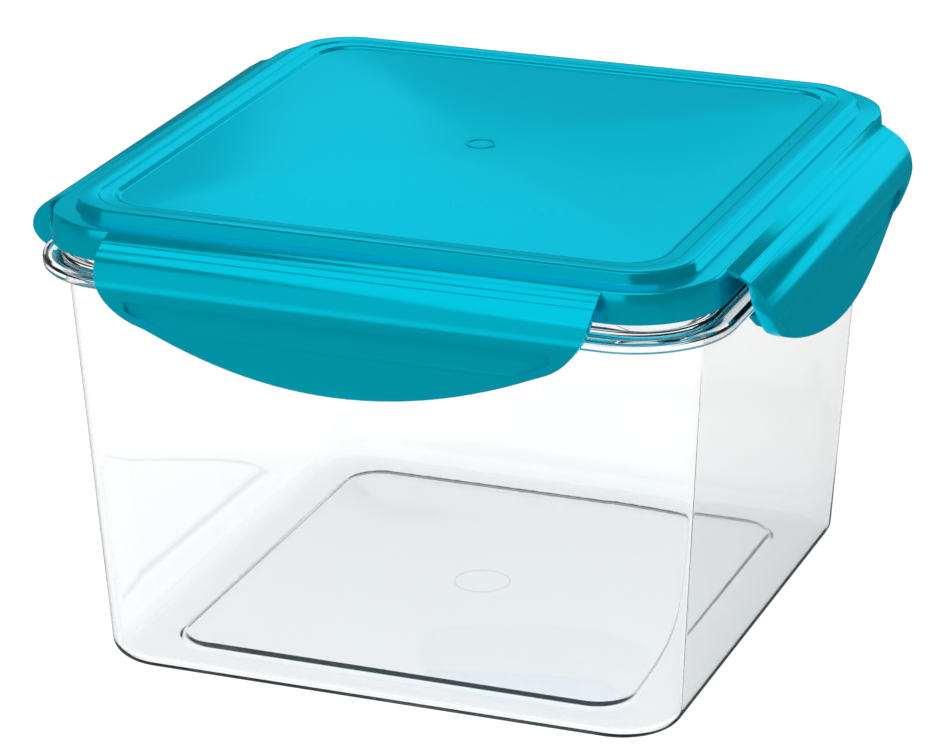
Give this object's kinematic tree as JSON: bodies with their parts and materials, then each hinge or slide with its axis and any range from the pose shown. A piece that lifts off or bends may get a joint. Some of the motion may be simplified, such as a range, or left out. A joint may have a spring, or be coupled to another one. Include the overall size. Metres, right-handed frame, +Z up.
{
  "type": "food storage container",
  "caption": "Rounded-square clear food container with a turquoise press-down lid, soft seal and hinged snap clips on its sides.",
  "frame": {"origin": "middle of the tub's underside, on the ring it stands on", "axes": "+Z up, -Y to the front clip, +X to the right clip"},
  "size_m": [0.2398, 0.2458, 0.152],
  "materials": {
    "clear_tub": "clear colourless moulded plastic, polished",
    "lid_plastic": "glossy moulded plastic, turquoise",
    "clip_plastic": "glossy moulded plastic, turquoise",
    "seal_rubber": "soft translucent silicone, satin"
  },
  "bodies": {
    "tub": {"tub": "clear_tub"},
    "lid": {"lid": "lid_plastic", "seal": "seal_rubber"},
    "strip_right": {"hinge_strip_right": "clip_plastic"},
    "clip_right": {"clip_right": "clip_plastic"},
    "strip_back": {"hinge_strip_back": "clip_plastic"},
    "clip_back": {"clip_back": "clip_plastic"},
    "strip_left": {"hinge_strip_left": "clip_plastic"},
    "clip_left": {"clip_left": "clip_plastic"},
    "strip_front": {"hinge_strip_front": "clip_plastic"},
    "clip_front": {"clip_front": "clip_plastic"}
  },
  "joints": [
    {"name": "lid_lift", "type": "slide", "parent": "tub", "child": "lid", "axis": [0, 0, 1], "range_m": [0, 0.018]},
    {"name": "clip_fold_right", "type": "hinge", "parent": "lid", "child": "clip_right", "pos_m": [0.111, 0, 0.1449], "axis": [0, -1, 0], "range_deg": [0, 130]},
    {"name": "strip_fold_right", "type": "hinge", "parent": "lid", "child": "strip_right", "pos_m": [0.111, 0, 0.1449], "axis": [0, -1, 0], "range_deg": [0, 65]},
    {"name": "clip_fold_back", "type": "hinge", "parent": "lid", "child": "clip_back", "pos_m": [0, 0.114, 0.1449], "axis": [1, 0, 0], "range_deg": [0, 130]},
    {"name": "strip_fold_back", "type": "hinge", "parent": "lid", "child": "strip_back", "pos_m": [0, 0.114, 0.1449], "axis": [1, 0, 0], "range_deg": [0, 65]},
    {"name": "clip_fold_left", "type": "hinge", "parent": "lid", "child": "clip_left", "pos_m": [-0.111, 0, 0.1449], "axis": [0, 1, 0], "range_deg": [0, 130]},
    {"name": "strip_fold_left", "type": "hinge", "parent": "lid", "child": "strip_left", "pos_m": [-0.111, 0, 0.1449], "axis": [0, 1, 0], "range_deg": [0, 65]},
    {"name": "clip_fold_front", "type": "hinge", "parent": "lid", "child": "clip_front", "pos_m": [0, -0.114, 0.1449], "axis": [-1, 0, 0], "range_deg": [0, 130]},
    {"name": "strip_fold_front", "type": "hinge", "parent": "lid", "child": "strip_front", "pos_m": [0, -0.114, 0.1449], "axis": [-1, 0, 0], "range_deg": [0, 65]}
  ],
  "couplings": [
    {"joint": "clip_fold_right", "follows": "lid_lift", "rad_per_m": 126.05},
    {"joint": "strip_fold_right", "follows": "lid_lift", "rad_per_m": 63.026},
    {"joint": "clip_fold_back", "follows": "lid_lift", "rad_per_m": 126.05},
    {"joint": "strip_fold_back", "follows": "lid_lift", "rad_per_m": 63.026},
    {"joint": "clip_fold_left", "follows": "lid_lift", "rad_per_m": 126.05},
    {"joint": "strip_fold_left", "follows": "lid_lift", "rad_per_m": 63.026},
    {"joint": "clip_fold_front", "follows": "lid_lift", "rad_per_m": 126.05},
    {"joint": "strip_fold_front", "follows": "lid_lift", "rad_per_m": 63.026}
  ]
}
